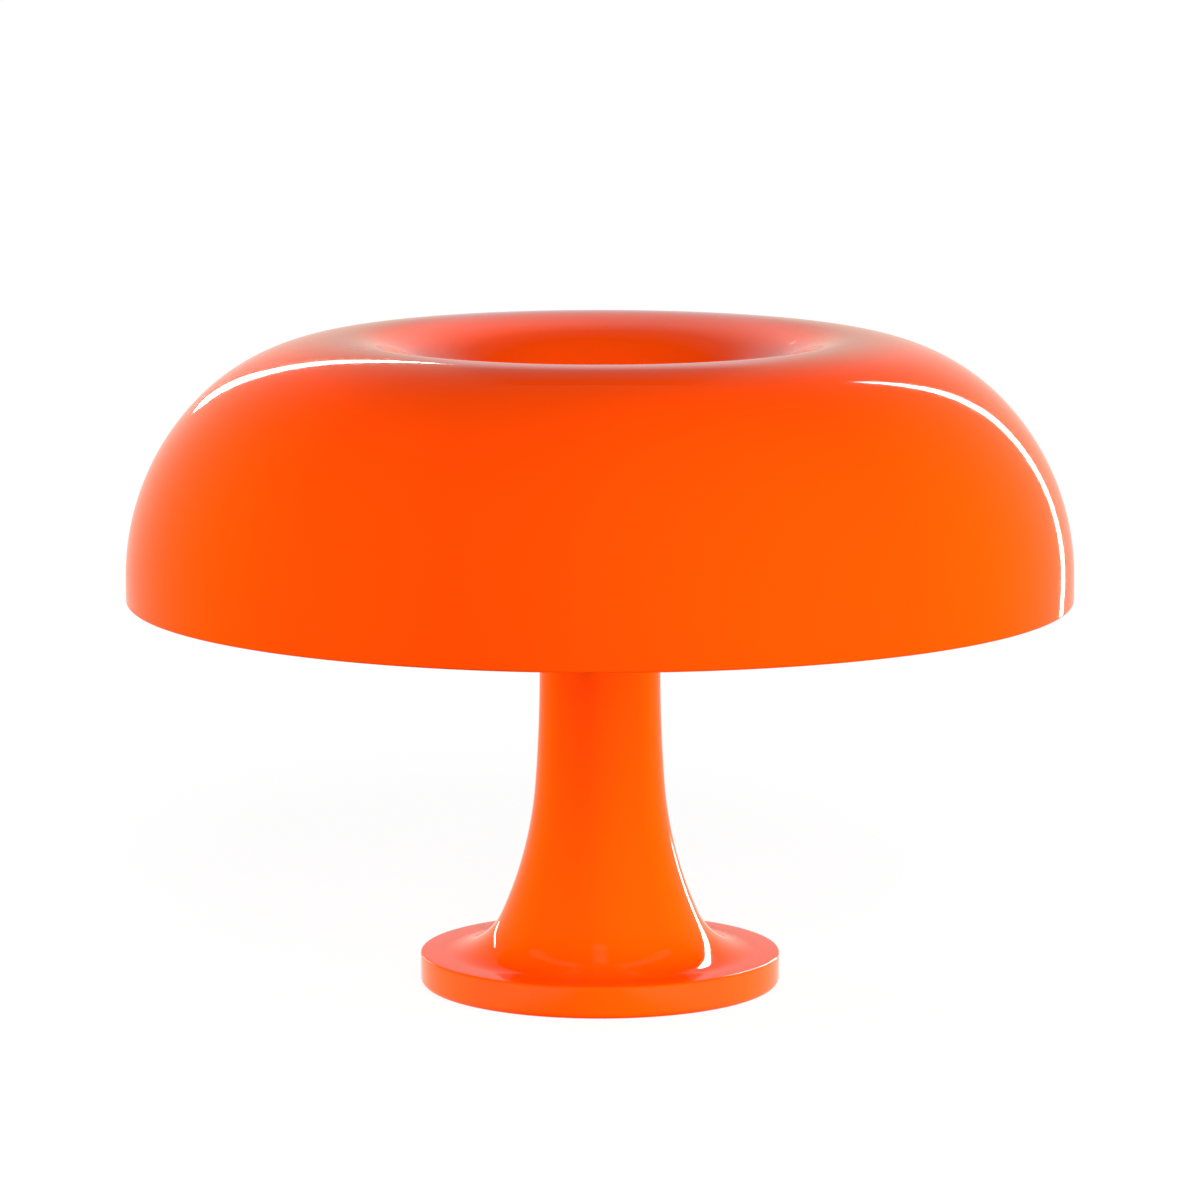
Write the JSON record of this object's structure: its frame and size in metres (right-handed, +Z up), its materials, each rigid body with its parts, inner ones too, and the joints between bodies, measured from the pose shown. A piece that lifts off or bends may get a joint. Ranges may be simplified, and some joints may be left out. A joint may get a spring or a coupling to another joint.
{
  "type": "table lamp",
  "caption": "Mushroom table lamp: a rolled ring-shaped shade with a funnel on a flared stem and round foot; the shade lifts off, its knob unscrews and the globe bulbs turn.",
  "frame": {"origin": "on the table under the middle of the foot", "axes": "+Z up the stem, +Y towards the back where the mains lead enters, +X to the right"},
  "size_m": [0.32, 0.32, 0.222],
  "materials": {
    "shade_plastic": "polished moulded orange plastic",
    "base_plastic": "polished moulded orange plastic",
    "knob_plastic": "moulded orange plastic",
    "cover_plastic": "fine grain, dark grey",
    "white_plastic": "satin white",
    "lead_sleeve": "soft sleeve",
    "ceramic": "glazed",
    "rubber": "matt",
    "cast_iron": "as cast",
    "zinc_steel": "zinc plated",
    "brass": "plain",
    "nickel_cap": "nickel plated",
    "opal_glass": "opal, satin",
    "black_glass": "black"
  },
  "bodies": {
    "base": {"foot_stem": "base_plastic", "base_cover": "cover_plastic", "base_screws": "zinc_steel", "rubber_feet": "rubber", "ballast_ring": "cast_iron", "cord_grommet": "rubber", "terminal_block": "white_plastic", "terminal_clamps": "brass", "lamp_turret": "white_plastic", "threaded_stud": "zinc_steel", "stud_nuts": "zinc_steel", "stud_washers": "zinc_steel", "holder_nipples": "brass", "supply_lead": "lead_sleeve", "link_lead_1": "lead_sleeve", "link_lead_2": "lead_sleeve", "link_lead_3": "lead_sleeve", "shade_gasket": "rubber", "holder_cap_1": "white_plastic", "holder_skirt_1": "white_plastic", "contact_block_1": "ceramic", "thread_shell_1": "brass", "centre_contact_1": "brass", "holder_cap_2": "white_plastic", "holder_skirt_2": "white_plastic", "contact_block_2": "ceramic", "thread_shell_2": "brass", "centre_contact_2": "brass", "holder_cap_3": "white_plastic", "holder_skirt_3": "white_plastic", "contact_block_3": "ceramic", "thread_shell_3": "brass", "centre_contact_3": "brass", "holder_cap_4": "white_plastic", "holder_skirt_4": "white_plastic", "contact_block_4": "ceramic", "thread_shell_4": "brass", "centre_contact_4": "brass"},
    "shade": {"shade": "shade_plastic"},
    "knob_washer": {"knob_washer": "zinc_steel"},
    "knob": {"shade_knob": "knob_plastic", "knob_insert": "brass"},
    "bulb_1_foot": {"bulb_insulator_1": "black_glass", "bulb_tip_1": "nickel_cap"},
    "bulb_1": {"bulb_globe_1": "opal_glass", "bulb_cap_1": "nickel_cap"},
    "bulb_2_foot": {"bulb_insulator_2": "black_glass", "bulb_tip_2": "nickel_cap"},
    "bulb_2": {"bulb_globe_2": "opal_glass", "bulb_cap_2": "nickel_cap"},
    "bulb_3_foot": {"bulb_insulator_3": "black_glass", "bulb_tip_3": "nickel_cap"},
    "bulb_3": {"bulb_globe_3": "opal_glass", "bulb_cap_3": "nickel_cap"},
    "bulb_4_foot": {"bulb_insulator_4": "black_glass", "bulb_tip_4": "nickel_cap"},
    "bulb_4": {"bulb_globe_4": "opal_glass", "bulb_cap_4": "nickel_cap"}
  },
  "joints": [
    {"name": "shade_lift", "type": "slide", "parent": "base", "child": "shade", "axis": [0, 0, 1], "range_m": [0, 0.08]},
    {"name": "knob_rise", "type": "slide", "parent": "shade", "child": "knob_washer", "axis": [0, 0, 1], "range_m": [0, 0.006]},
    {"name": "knob_turn", "type": "hinge", "parent": "knob_washer", "child": "knob", "pos_m": [0, 0, 0.18], "axis": [0, 0, 1], "range_deg": [0, 2160]},
    {"name": "bulb_1_out", "type": "slide", "parent": "base", "child": "bulb_1_foot", "axis": [0, -1, 0], "range_m": [0, 0.0141]},
    {"name": "bulb_1_turn", "type": "hinge", "parent": "bulb_1_foot", "child": "bulb_1", "pos_m": [0, -0.06, 0.156], "axis": [0, -1, 0], "range_deg": [0, 1800]},
    {"name": "bulb_2_out", "type": "slide", "parent": "base", "child": "bulb_2_foot", "axis": [1, 0, 0], "range_m": [0, 0.0141]},
    {"name": "bulb_2_turn", "type": "hinge", "parent": "bulb_2_foot", "child": "bulb_2", "pos_m": [0.06, 0, 0.156], "axis": [1, 0, 0], "range_deg": [0, 1800]},
    {"name": "bulb_3_out", "type": "slide", "parent": "base", "child": "bulb_3_foot", "axis": [0, 1, 0], "range_m": [0, 0.0141]},
    {"name": "bulb_3_turn", "type": "hinge", "parent": "bulb_3_foot", "child": "bulb_3", "pos_m": [0, 0.06, 0.156], "axis": [0, 1, 0], "range_deg": [0, 1800]},
    {"name": "bulb_4_out", "type": "slide", "parent": "base", "child": "bulb_4_foot", "axis": [-1, 0, 0], "range_m": [0, 0.0141]},
    {"name": "bulb_4_turn", "type": "hinge", "parent": "bulb_4_foot", "child": "bulb_4", "pos_m": [-0.06, 0, 0.156], "axis": [-1, 0, 0], "range_deg": [0, 1800]}
  ],
  "couplings": [
    {"joint": "knob_rise", "follows": "knob_turn", "m_per_rad": 0.00015915},
    {"joint": "bulb_1_out", "follows": "bulb_1_turn", "m_per_rad": 0.00044882},
    {"joint": "bulb_2_out", "follows": "bulb_2_turn", "m_per_rad": 0.00044882},
    {"joint": "bulb_3_out", "follows": "bulb_3_turn", "m_per_rad": 0.00044882},
    {"joint": "bulb_4_out", "follows": "bulb_4_turn", "m_per_rad": 0.00044882}
  ]
}
